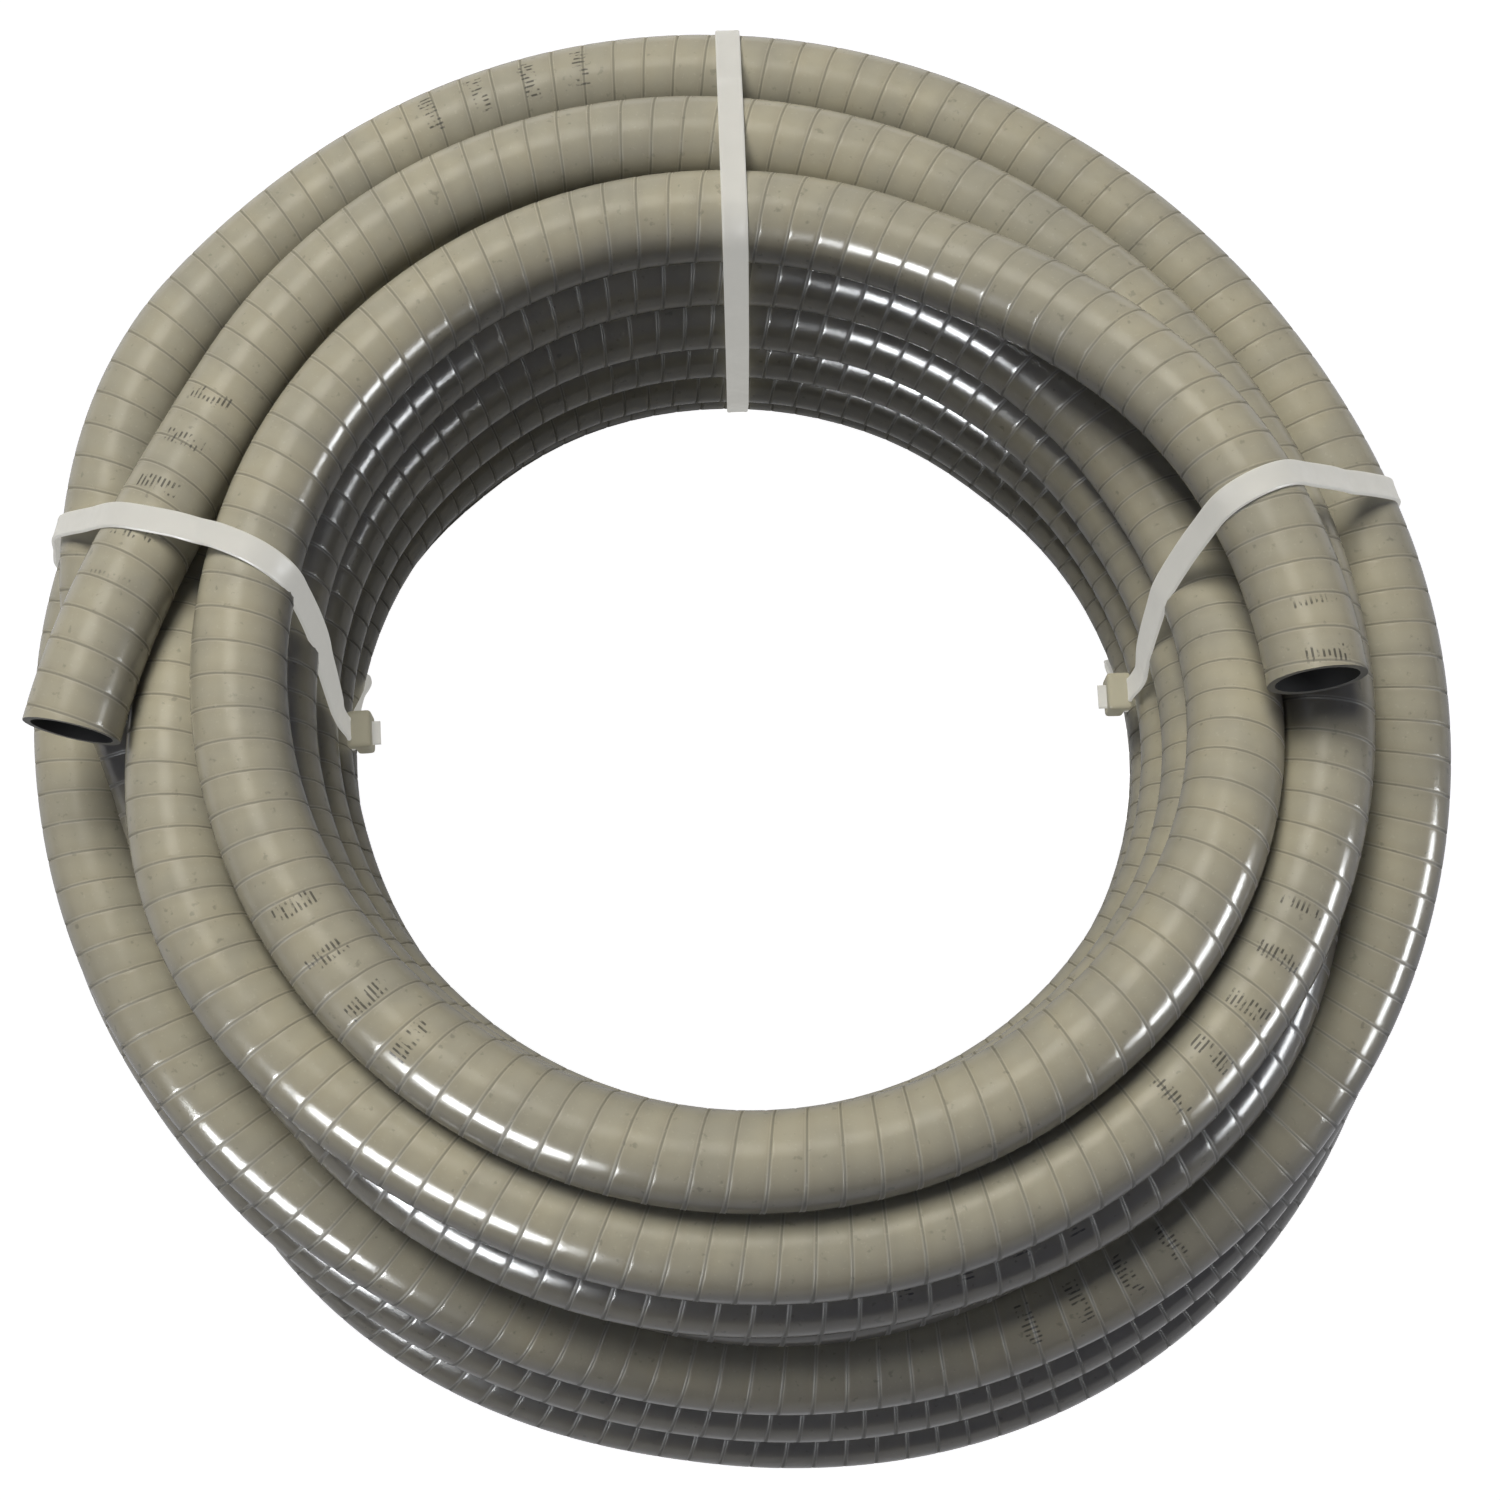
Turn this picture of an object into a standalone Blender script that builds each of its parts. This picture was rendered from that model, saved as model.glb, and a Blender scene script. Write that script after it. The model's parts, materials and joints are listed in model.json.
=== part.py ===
"""A tied coil of spiral-reinforced PVC hose: one hose wound in three columns of turns,
both ends cut square and free, and three nylon cable ties round the bundle.

The hose has no end fittings. The wound part is one closed ring that follows the outer shape of the
turns. Each free end is a real tube with an open bore. Each tie is a strap, a head with a slot
through it, and a pawl that flexes on the head. Lengths are in metres and +Z is up.
"""
import math

import bmesh
import bpy
import numpy as np
from mathutils import Matrix, Vector

# --- Driving dimensions -------------------------------------------------------------------------
HOSE = 0.0267            # outside diameter of the hose, the module of the whole coil
WALL = 0.0023            # wall thickness at the cut ends
FLAT = 0.0004            # how far the lowest turns are pressed flat where they rest
GAP = 0.0003             # clearance between pieces that touch
GROOVE = 0.0022          # clearance between the wound part and the free ends that lie on it

CENTRE = Vector((0.0055, 0.0111, 0.0))   # coil axis, set so that the whole object is centred
LAYERS = 6               # turns stacked in the inner and the middle column
LEFT_CUT = 187.4         # azimuth of the left cut end
LEFT_JOIN = 150.0        # where the left end starts to leave the middle column
LEFT_RISE = (0.60, 0.52)     # how far the left cut end stands out and up from its column
LEFT_BEND = 2.6          # how late the left end turns outwards: higher is later
RIGHT_CUT = -5.8         # azimuth of the right cut end
RIGHT_JOIN = 40.0        # where the right free end starts
RIGHT_LEAVES = 72.0      # where the hose starts to climb towards the right end
RIGHT_RISE = (0.57, 0.68)    # how far the right cut end stands out and up from its column
RIGHT_BEND = 2.0         # how late the right end turns outwards
RIGHT_CLIMB = 1.35       # how early it reaches its full height

# How the turns of each column sway round the coil, in hose diameters: a mean, then the size of the
# cosine and the sine of the azimuth, of twice it and of three times it
INNER_RADIUS = (5.24, -0.12, -0.12, 0.04, -0.07)
INNER_TOP = (5.50, 0.08, -0.08)
INNER_LEAN = (0.0, -0.05, -0.12, -0.05, 0.05, 0.38)      # outward shift of each layer from the top
MIDDLE_RADIUS = (6.18, -0.16, -0.06, 0.04, -0.22, 0.05)
MIDDLE_TOP = (5.08, 0.08, 0.14)
MIDDLE_SPLAY = (0.21, 0.0, -0.10)                        # outward shift of the second layer
MIDDLE_LEAN = (0.28, 0.18, 0.20)                         # outward shift of the three lowest layers
OUTER_RADIUS = (7.27, -0.17, -0.12, -0.06, -0.20)
OUTER_TOP = (4.65, 0.0, 0.15)
OUTER_LAYERS = 3
OUTER_PACKING = 0.93     # height of a layer of the outer column where it rests on the floor

# Places where a shape swells smoothly: size, azimuth, half width in degrees
SLUMP = (1.0, 268.0, 105.0)      # where the outer column has slid down to the floor
MIDDLE_SAG = (0.12, 270.0, 70.0)
MIDDLE_SWELL = (0.30, 200.0, 50.0)     # where the top turn of the middle column stands out
OUTER_SPLAYS = ((0.09, 308.0, 45.0), (0.06, 238.0, 30.0))
OUTER_SWELLS = ((0.20, 187.0, 60.0), (0.16, 325.0, 70.0))
OUTER_RISE = (0.40, 210.0, 60.0)

LIFT_NEAR = 22.0         # a turn on the floor is fully lifted within this many degrees of a strap
LIFT_FAR = 48.0          # and back on the floor beyond this many

STRAP_WIDTH = 0.0076     # heavy-duty cable tie
STRAP_THICK = 0.0013
STRAP_CLEAR = 0.0012     # strap to hose
STRAP_TAUT = 0.85        # how far the strap spans the valleys between turns, 1 being pulled straight
END_CLEAR = 0.0029       # more clearance where a strap crosses a free end
SKEW_CLEAR = 0.0036      # more clearance where a strap crosses the turns aslant
STRAP_LOOK = 1.2         # strap widths on each side that the strap's height takes into account
HEAD_LENGTH = 0.0105     # along the strap
HEAD_WIDTH = 0.0120      # across the strap
HEAD_HEIGHT = 0.0070     # away from the bundle
SLOT_AT = 0.0019         # centre of the strap's tail in the head, from the head's middle
PAWL_ROOM = 0.0026       # room for the pawl beside the tail
PASSAGE_ROOM = 0.0007    # between the strap and the roof of the passage under the head
HEAD_BEVEL = 0.0006
PAWL_LENGTH = 0.0040
PAWL_THICK = 0.0010
PAWL_ROOT = 0.0017       # height of the pawl's hinge above the strap
PAWL_SIDE = 0.0008       # how much less wide than the strap the pawl is, on each side
TEETH = 3
FIRST_TOOTH = 0.40       # place of the first tooth, as a share of the pawl's length
TOOTH_PITCH = 0.17       # from tooth to tooth, as a share of the pawl's length
TOOTH_DEPTH = 0.0004
BEND_RADIUS = 0.0016     # where the tail turns up into the head
BEND_STEPS = 4           # facets of that turn
TAIL_STANDS = 0.0024     # how far the cut tail stands out of the head

# azimuth of each tie, the turn of its line towards the head, the side of the bundle that its head is on
TIES = {
    "top": (92.0, 0.0, -18.0),
    "left": (168.5, 16.0, 173.0),
    "right": (15.5, -14.0, 174.0),
}

RING_STEP = 5.0          # degrees between the stations of the wound part
RING_POINTS = 48         # points round each station
NEAR_FLOOR = 0.35        # a station's point lower than this goes to the floor, in hose diameters
DOWNWARD = 0.2           # and only on a ray that points down at least this steeply
CORE = (6.1, 2.8)        # a point inside the bundle's section, radius and height in hose diameters
STEP_FACE = 0.06         # half the spread, in degrees, of the face where a free end leaves the ring
TUBE_SIDES = 20
TUBE_STEP = 3.0          # degrees between the stations of a free end
TURN_SPAN = 85.0         # degrees of ray over which a tie's line turns aside
HEAD_SPAN = 14.0         # degrees of ray on each side of a head over which the strap lies straight


# --- Shape of the wound turns, in hose diameters and degrees ------------------------------------
def smooth(value):
    value = min(max(value, 0.0), 1.0)
    return value * value * (3.0 - 2.0 * value)


def bump(angle, centre, half_width):
    """1 at centre, falling smoothly to 0 half_width degrees away."""
    away = abs((angle - centre + 180.0) % 360.0 - 180.0) / half_width
    return 0.5 + 0.5 * math.cos(math.pi * min(away, 1.0))


def swell(angle, *places):
    return sum(size * bump(angle, centre, half_width) for size, centre, half_width in places)


def sway(angle, sizes):
    """A radius or a height that swings gently round the coil, as hand-wound turns do."""
    a = math.radians(angle)
    waves = (1.0, math.cos(a), math.sin(a), math.cos(2 * a), math.sin(2 * a), math.cos(3 * a))
    return sum(size * wave for size, wave in zip(sizes, waves))


def floor_height(angle):
    """Centre line of the lowest turn: pressed on the floor, and lifted a little over each strap."""
    lift = (STRAP_THICK + STRAP_CLEAR + FLAT + GAP) / HOSE
    share = 0.0
    for azimuth, turn, _ in TIES.values():
        away = abs((angle - azimuth - turn / 2.0 + 180.0) % 360.0 - 180.0)
        share = max(share, smooth((LIFT_FAR - away) / (LIFT_FAR - LIFT_NEAR)))
    return 0.5 - FLAT / HOSE + lift * share


def stacked(top, angle, layer):
    """Height of a layer of a full column that stands on the floor."""
    return top - (layer - 1.0) * (top - floor_height(angle)) / (LAYERS - 1.0)


def inner_place(angle, layer):
    """Radius and height of a turn of the inner column; layer 1 is the top one."""
    return sway(angle, INNER_RADIUS) + INNER_LEAN[layer - 1], stacked(sway(angle, INNER_TOP), angle, layer)


def middle_place(angle, layer):
    splay = sway(angle, MIDDLE_SPLAY)
    lean = (0.0, splay, 1.8 * splay, *MIDDLE_LEAN)
    sag = swell(angle, MIDDLE_SAG) * max(layer - 3.0, 0.0) ** 2
    height = stacked(sway(angle, MIDDLE_TOP), angle, layer) - sag
    upper = swell(angle, MIDDLE_SWELL) if layer == 1 else 0.0
    return sway(angle, MIDDLE_RADIUS) + lean[layer - 1] + upper, max(height, floor_height(angle))


def outer_place(angle, layer):
    """The outer column hangs in the ties behind and slumps to the floor in front."""
    slump = swell(angle, SLUMP)
    splay = 0.04 + 0.34 * slump + swell(angle, *OUTER_SPLAYS)
    top = sway(angle, OUTER_TOP)
    resting = floor_height(angle) + (OUTER_LAYERS - 1.0) * OUTER_PACKING
    packing = 1.0 + (OUTER_PACKING - 1.0) * slump
    height = top + (resting - top) * slump - (layer - 1.0) * packing + swell(angle, OUTER_RISE)
    radius = sway(angle, OUTER_RADIUS) + swell(angle, *OUTER_SWELLS) + splay * (layer - 1.0)
    return radius, max(height, floor_height(angle))


PLACES = {"inner": inner_place, "middle": middle_place, "outer": outer_place}

# where the hose lies in turn, from its left end: column, layer, the azimuth where it leaves that
# place, and the degrees that it takes to reach the next one
ORDER = (
    ("middle", 1, 215.0, 60.0), ("middle", 2, 190.0, 44.0),
    ("outer", 1, 245.0, 60.0), ("outer", 2, 245.0, 60.0), ("outer", 3, 222.0, 70.0),
    ("middle", 3, 245.0, 60.0), ("middle", 4, 245.0, 60.0), ("middle", 5, 245.0, 60.0),
    ("middle", 6, 330.0, 60.0),
    ("inner", 6, 30.0, 60.0), ("inner", 5, 30.0, 60.0), ("inner", 4, 30.0, 60.0),
    ("inner", 3, 30.0, 60.0), ("inner", 2, 30.0, 60.0), ("inner", 1, RIGHT_CUT, 0.0),
)
SHORTEST_RUN = 180.0     # the least angle that the hose stays in one place


def winding():
    """The hose from its left end to its right end, as stretches (first angle, last angle, column,
    layer). Angles fall, because the hose runs clockwise seen from above. Between two stretches the
    hose crosses smoothly from one place to the next."""
    stretches = []
    angle = LEFT_CUT
    for column, layer, leaves_at, crossing in ORDER:
        turns = math.ceil((leaves_at - angle + SHORTEST_RUN) / 360.0)
        last = leaves_at - 360.0 * turns
        stretches.append((angle, last, column, layer))
        angle = last - crossing
    return stretches


def hose_at(angle, stretches):
    """Radius and height of the hose at a running angle along the winding."""
    for i, (first, last, column, layer) in enumerate(stretches):
        if angle >= last or i == len(stretches) - 1:
            break
        after = stretches[i + 1]
        if angle > after[0]:
            share = smooth((last - angle) / (last - after[0]))
            r0, z0 = PLACES[column](angle, layer)
            r1, z1 = PLACES[after[2]](angle, after[3])
            return r0 + (r1 - r0) * share, z0 + (z1 - z0) * share
    radius, height = PLACES[column](angle, layer)
    if i == 0 and angle > LEFT_JOIN:
        out = (angle - LEFT_JOIN) / (LEFT_CUT - LEFT_JOIN)
        radius += LEFT_RISE[0] * out ** LEFT_BEND
        height += LEFT_RISE[1] * smooth(out)
    end_angle = stretches[-1][1]
    before_end = angle - end_angle
    if i == len(stretches) - 1 and before_end < RIGHT_LEAVES - RIGHT_CUT:
        out = 1.0 - before_end / (RIGHT_LEAVES - RIGHT_CUT)
        radius += RIGHT_RISE[0] * out ** RIGHT_BEND
        height += RIGHT_RISE[1] * smooth(out * RIGHT_CLIMB)
    return radius, height


WINDING = winding()
LEFT_SPAN = (LEFT_CUT, LEFT_JOIN)
RIGHT_SPAN = (WINDING[-1][1] + RIGHT_JOIN - RIGHT_CUT, WINDING[-1][1])
COIL_SPAN = (LEFT_JOIN, RIGHT_SPAN[0])


def crossings(azimuth, span):
    """Where the hose passes an azimuth, as points (radius, height) in metres, within a span."""
    found = []
    angle = azimuth + 360.0 * math.floor((span[0] - azimuth) / 360.0)
    while angle >= span[1]:
        found.append(np.array(hose_at(angle, WINDING)) * HOSE)
        angle -= 360.0
    return found


def place(angle, radius, height):
    a = math.radians(angle)
    return CENTRE + Vector((radius * math.cos(a), radius * math.sin(a), height))


# --- The wound part -----------------------------------------------------------------------------
RAYS = np.radians(np.arange(RING_POINTS) * 360.0 / RING_POINTS)
RAY_LINES = np.stack([np.cos(RAYS), np.sin(RAYS)], axis=1)
CORE_POINT = np.array(CORE) * HOSE


def reach(azimuth):
    """How far the bundle reaches from its core along each ray, at one azimuth."""
    far = np.zeros(RING_POINTS)
    for turn in crossings(azimuth, COIL_SPAN):
        hit, _, leave = ray_circle(turn, HOSE / 2.0)
        far = np.where(hit, np.maximum(far, leave), far)
    for span in (LEFT_SPAN, RIGHT_SPAN):
        for turn in crossings(azimuth, span):
            hit, enter, _ = ray_circle(turn, HOSE / 2.0 + GROOVE)
            far = np.where(hit & (enter > 0.0), np.minimum(far, enter), far)
    down = -RAY_LINES[:, 1]
    low = CORE_POINT[1] - far * down < HOSE * NEAR_FLOOR
    rests = floor_height(azimuth) < 0.5 - 0.9 * FLAT / HOSE
    to_floor = CORE_POINT[1] / np.maximum(down, 1e-6)
    return np.where((down > DOWNWARD) & (low & rests | (far > to_floor)), to_floor, far)


def ray_circle(centre, radius):
    """Whether each ray from the core meets a circle, and where it enters and leaves it."""
    offset = centre - CORE_POINT
    along = RAY_LINES @ offset
    inside = radius ** 2 - (offset @ offset - along ** 2)
    half = np.sqrt(np.maximum(inside, 0.0))
    return (inside > 0.0) & (along + half > 0.0), along - half, along + half


def stations():
    """Azimuths of the ring's sections, with a pair close together at each step where an end leaves."""
    found = set(np.arange(0.0, 360.0, RING_STEP))
    found -= {LEFT_JOIN, RIGHT_JOIN}
    for azimuth in (LEFT_JOIN, RIGHT_JOIN):
        found |= {azimuth - STEP_FACE, azimuth + STEP_FACE}
    return sorted(found)


def make_coil():
    mesh = bmesh.new()
    rings = []
    for azimuth in stations():
        points = CORE_POINT + reach(azimuth)[:, None] * RAY_LINES
        rings.append([mesh.verts.new(place(azimuth, r, z)) for r, z in points])
    skin(mesh, rings, closed=True)
    return finish_mesh("hose_coil", mesh, PVC)


def skin(mesh, rings, closed):
    """Faces between loops of points that run the same way."""
    pairs = zip(rings, rings[1:] + rings[:1]) if closed else zip(rings, rings[1:])
    for low, high in pairs:
        for i in range(len(low)):
            j = (i + 1) % len(low)
            mesh.faces.new((low[i], low[j], high[j], high[i]))


def finish_mesh(name, mesh, material):
    bmesh.ops.recalc_face_normals(mesh, faces=mesh.faces)
    data = bpy.data.meshes.new(name)
    mesh.to_mesh(data)
    mesh.free()
    data.materials.append(material)
    data.shade_smooth()
    data.set_sharp_from_angle(angle=math.radians(35.0))
    piece = bpy.data.objects.new(name, data)
    bpy.context.scene.collection.objects.link(piece)
    return piece


# --- The free ends ------------------------------------------------------------------------------
def make_end(name, cut, join):
    """A tube from its cut end to where it meets the wound part, with the bore open at the cut."""
    gap = math.degrees(GAP / (INNER_RADIUS[0] * HOSE)) + STEP_FACE
    join += math.copysign(gap, cut - join)
    count = max(2, round(abs(cut - join) / TUBE_STEP))
    line = [hose_point(cut + (join - cut) * i / count) for i in range(count + 1)]
    mesh = bmesh.new()
    ahead = [line[min(i + 1, count)] - line[max(i - 1, 0)] for i in range(count + 1)]
    spoke = math.radians(join)
    ahead[-1] = Vector((-math.sin(spoke), math.cos(spoke), 0.0)) * math.copysign(1.0, join - cut)
    outer = [circle(mesh, line[i], ahead[i], HOSE / 2.0) for i in range(count + 1)]
    bore = [circle(mesh, line[i], ahead[i], HOSE / 2.0 - WALL) for i in range(count)]
    skin(mesh, bore[::-1] + outer, closed=False)
    mesh.faces.new(bore[-1])
    mesh.faces.new(outer[-1])
    return finish_mesh(name, mesh, PVC)


def hose_point(angle):
    radius, height = hose_at(angle, WINDING)
    return place(angle, radius * HOSE, height * HOSE)


def circle(mesh, centre, ahead, radius):
    """A ring of points round a centre, square to the way ahead."""
    side = ahead.cross(Vector((0.0, 0.0, 1.0))).normalized()
    up = side.cross(ahead.normalized())
    found = []
    for k in range(TUBE_SIDES):
        a = 2.0 * math.pi * k / TUBE_SIDES
        found.append(mesh.verts.new(centre + side * (radius * math.cos(a)) + up * (radius * math.sin(a))))
    return found


# --- The cable ties -----------------------------------------------------------------------------
def strap_reach(azimuth):
    """The strap's centre line from the core: it clears every turn and end, and spans the valleys."""
    far = np.zeros(RING_POINTS)
    half = math.degrees(STRAP_WIDTH * STRAP_LOOK / CORE_POINT[0])
    for beside in (-half, -half / 2.0, 0.0, half / 2.0, half):
        far = np.maximum(far, reach(azimuth + beside))
        for span in (LEFT_SPAN, RIGHT_SPAN):
            for turn in crossings(azimuth + beside, span):
                hit, _, leave = ray_circle(turn, HOSE / 2.0 + END_CLEAR)
                far = np.where(hit, np.maximum(far, leave), far)
    points = RAY_LINES * far[:, None]
    compass = np.radians(np.arange(0.0, 360.0, 2.0))
    facing = np.stack([np.cos(compass), np.sin(compass)], axis=1)
    support = (points @ facing.T).max(axis=0)
    across = np.maximum(RAY_LINES @ facing.T, 1e-3)
    taut = (support / across).min(axis=1)
    return far + STRAP_TAUT * (taut - far) + STRAP_CLEAR + STRAP_THICK / 2.0


def tie_azimuth(tie, ray):
    """A tie's azimuth at a ray angle: its line turns aside on the face of the bundle with the head."""
    azimuth, turn, head_ray = TIES[tie]
    return azimuth + turn * bump(ray, head_ray, TURN_SPAN)


def skew(tie, ray):
    """1 where the tie's line is most aslant, and 0 where it runs straight round the bundle."""
    share = bump(ray, TIES[tie][2], TURN_SPAN)
    return 4.0 * share * (1.0 - share) if TIES[tie][1] else 0.0


def strap_point(tie, ray):
    azimuth = tie_azimuth(tie, ray)
    turned = ray / 360.0 * RING_POINTS
    low = int(math.floor(turned))
    share = turned - low
    far = strap_reach(azimuth)
    distance = far[low % RING_POINTS] * (1.0 - share) + far[(low + 1) % RING_POINTS] * share
    distance += SKEW_CLEAR * skew(tie, ray)
    a = math.radians(ray)
    radius = CORE_POINT[0] + distance * math.cos(a)
    height = max(CORE_POINT[1] + distance * math.sin(a), GAP + STRAP_THICK / 2.0)
    return place(azimuth, radius, height)


def head_frame(tie):
    """The head's own axes: X along the strap, Y across it, Z away from the bundle."""
    ray = TIES[tie][2]
    before = strap_point(tie, ray - HEAD_SPAN)
    after = strap_point(tie, ray + HEAD_SPAN)
    x = (after - before).normalized()
    azimuth = math.radians(tie_azimuth(tie, ray))
    a = math.radians(ray)
    out = Vector((math.cos(a) * math.cos(azimuth), math.cos(a) * math.sin(azimuth), math.sin(a)))
    z = (out - x * out.dot(x)).normalized()
    y = z.cross(x)
    middle = (before + after) / 2.0
    lift = max(0.0, (strap_point(tie, ray) - middle).dot(z))
    frame = Matrix((x, y, z)).transposed().to_4x4()
    frame.translation = middle + z * lift
    return frame


def make_strap(tie):
    """The strap leaves the head's root, runs round the bundle and ends as a tail through the slot."""
    frame = head_frame(tie)
    root = -HEAD_LENGTH / 2.0 - GAP
    line = [frame @ Vector((root, 0.0, 0.0)), frame @ Vector((root - BEND_RADIUS, 0.0, 0.0))]
    spacing = 360.0 / RING_POINTS
    nearest = math.floor((TIES[tie][2] - HEAD_SPAN) / spacing) - 1
    farthest = math.ceil((TIES[tie][2] + HEAD_SPAN) / spacing) + 1 - RING_POINTS
    for i in range(nearest, farthest - 1, -1):
        line.append(strap_point(tie, i * spacing))
    line.append(frame @ Vector((HEAD_LENGTH / 2.0 + BEND_RADIUS, 0.0, 0.0)))
    for i in range(BEND_STEPS + 1):
        a = math.radians(90.0 * i / BEND_STEPS)
        x = SLOT_AT + BEND_RADIUS * (1.0 - math.sin(a))
        line.append(frame @ Vector((x, 0.0, BEND_RADIUS * (1.0 - math.cos(a)))))
    line.append(frame @ Vector((SLOT_AT, 0.0, HEAD_HEIGHT + TAIL_STANDS)))

    mesh = bmesh.new()
    rings = []
    for i, point in enumerate(line):
        forward = (line[min(i + 1, len(line) - 1)] - line[max(i - 1, 0)]).normalized()
        out = strap_out(tie, frame, i, len(line), point)
        across = out.cross(forward).normalized() * (STRAP_WIDTH / 2.0)
        up = forward.cross(across).normalized() * (STRAP_THICK / 2.0)
        rings.append([mesh.verts.new(point + c) for c in (up + across, up - across, -up - across, across - up)])
    skin(mesh, rings, closed=False)
    mesh.faces.new(rings[0])
    mesh.faces.new(rings[-1])
    return finish_mesh(f"tie_{tie}_strap", mesh, NYLON)


def strap_out(tie, frame, i, count, point):
    """The way the strap's outer side faces at one point of its line."""
    tail = count - BEND_STEPS - 2
    if i <= 1 or i == tail - 1:
        return frame.col[2].to_3d()
    if i >= tail:
        a = math.radians(90.0 * min(i - tail, BEND_STEPS) / BEND_STEPS)
        return frame.col[2].to_3d() * math.cos(a) + frame.col[0].to_3d() * math.sin(a)
    around = Vector((point.x - CENTRE.x, point.y - CENTRE.y, 0.0)).normalized()
    core = CENTRE + around * CORE_POINT[0] + Vector((0.0, 0.0, CORE_POINT[1]))
    return (point - core).normalized()


def block(mesh, x, y, z):
    """A box from its extents along the three axes."""
    made = bmesh.ops.create_cube(mesh, size=1.0)["verts"]
    for vert in made:
        for axis, (low, high) in enumerate((x, y, z)):
            vert.co[axis] = low if vert.co[axis] < 0.0 else high


def make_head(tie):
    """A block with a slot through it for the tail, and a shallow passage under it for the strap."""
    half = HEAD_LENGTH / 2.0
    wide = HEAD_WIDTH / 2.0
    under = STRAP_THICK / 2.0
    mesh = bmesh.new()
    block(mesh, (-half, half), (-wide, wide), (-under, HEAD_HEIGHT))
    head = finish_mesh(f"tie_{tie}_head", mesh, NYLON)
    bevel = head.modifiers.new("edges", "BEVEL")
    bevel.width = HEAD_BEVEL
    bevel.segments = 2
    bevel.limit_method = "ANGLE"
    head.matrix_world = head_frame(tie)
    passage_start = SLOT_AT - STRAP_THICK / 2.0 - PAWL_ROOM
    cuts = {
        "slot": ((passage_start, SLOT_AT + STRAP_THICK / 2.0 + GAP),
                 (-STRAP_WIDTH / 2.0 - GAP, STRAP_WIDTH / 2.0 + GAP),
                 (-HEAD_HEIGHT, 2.0 * HEAD_HEIGHT)),
        "passage": ((passage_start, HEAD_LENGTH), (-HEAD_WIDTH, HEAD_WIDTH),
                    (-HEAD_HEIGHT, STRAP_THICK / 2.0 + PASSAGE_ROOM)),
    }
    for name, extents in cuts.items():
        mesh = bmesh.new()
        block(mesh, *extents)
        cutter = finish_mesh(f"tie_{tie}_{name}_cutter", mesh, NYLON)
        cutter.hide_render = True
        cutter.display_type = "WIRE"
        cutter.matrix_world = head.matrix_world
        cut = head.modifiers.new(name, "BOOLEAN")
        cut.operation = "DIFFERENCE"
        cut.object = cutter
    return head


def make_pawl(tie, head):
    """A tongue that leans from the slot's root wall towards the strap's tail, with teeth of its own.
    Its origin is on its living hinge."""
    slot_wall = SLOT_AT - STRAP_THICK / 2.0 - PAWL_ROOM
    hinge = Vector((slot_wall + GAP + PAWL_THICK / 2.0, 0.0, STRAP_THICK / 2.0 + PAWL_ROOT))
    strap_face = SLOT_AT - STRAP_THICK / 2.0 - GAP
    tip_x = strap_face - hinge.x
    half = PAWL_THICK / 2.0
    outline = [(-half, -half), (half, -half)]
    for k in range(TEETH):
        low = PAWL_LENGTH * (FIRST_TOOTH + TOOTH_PITCH * k)
        outline.append((tip_x - TOOTH_DEPTH, low))
        outline.append((tip_x, low + TOOTH_DEPTH))
    outline.append((tip_x - TOOTH_DEPTH, PAWL_LENGTH - half))
    outline.append((tip_x - PAWL_THICK, PAWL_LENGTH - half))
    mesh = bmesh.new()
    width = STRAP_WIDTH / 2.0 - PAWL_SIDE
    sides = [[mesh.verts.new((x, y, z)) for x, z in outline] for y in (-width, width)]
    skin(mesh, sides, closed=False)
    mesh.faces.new(sides[0])
    mesh.faces.new(sides[1])
    pawl = finish_mesh(f"tie_{tie}_pawl", mesh, NYLON)
    pawl.parent = head
    pawl.location = hinge
    return pawl


# --- Assembly -----------------------------------------------------------------------------------
def material(name, colour, roughness):
    made = bpy.data.materials.new(name)
    made.use_nodes = True
    shader = made.node_tree.nodes["Principled BSDF"]
    shader.inputs["Base Color"].default_value = (*colour, 1.0)
    shader.inputs["Roughness"].default_value = roughness
    shader.inputs["Metallic"].default_value = 0.0
    return made


for old in list(bpy.data.objects):
    bpy.data.objects.remove(old)

PVC = material("hose_pvc", (0.33, 0.32, 0.28), 0.35)
NYLON = material("tie_nylon", (0.80, 0.79, 0.74), 0.45)

make_coil()
make_end("hose_end_left", *LEFT_SPAN)
make_end("hose_end_right", RIGHT_SPAN[1], RIGHT_SPAN[0])
for tie_name in TIES:
    make_strap(tie_name)
    make_pawl(tie_name, make_head(tie_name))
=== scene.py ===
"""Looks for the tied coil of PVC hose: the hose as one grooved tube along its whole route, with its
two hollow cut ends, and the three nylon ties. Lengths are in metres unless a comment says otherwise.
"""
import math

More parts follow.
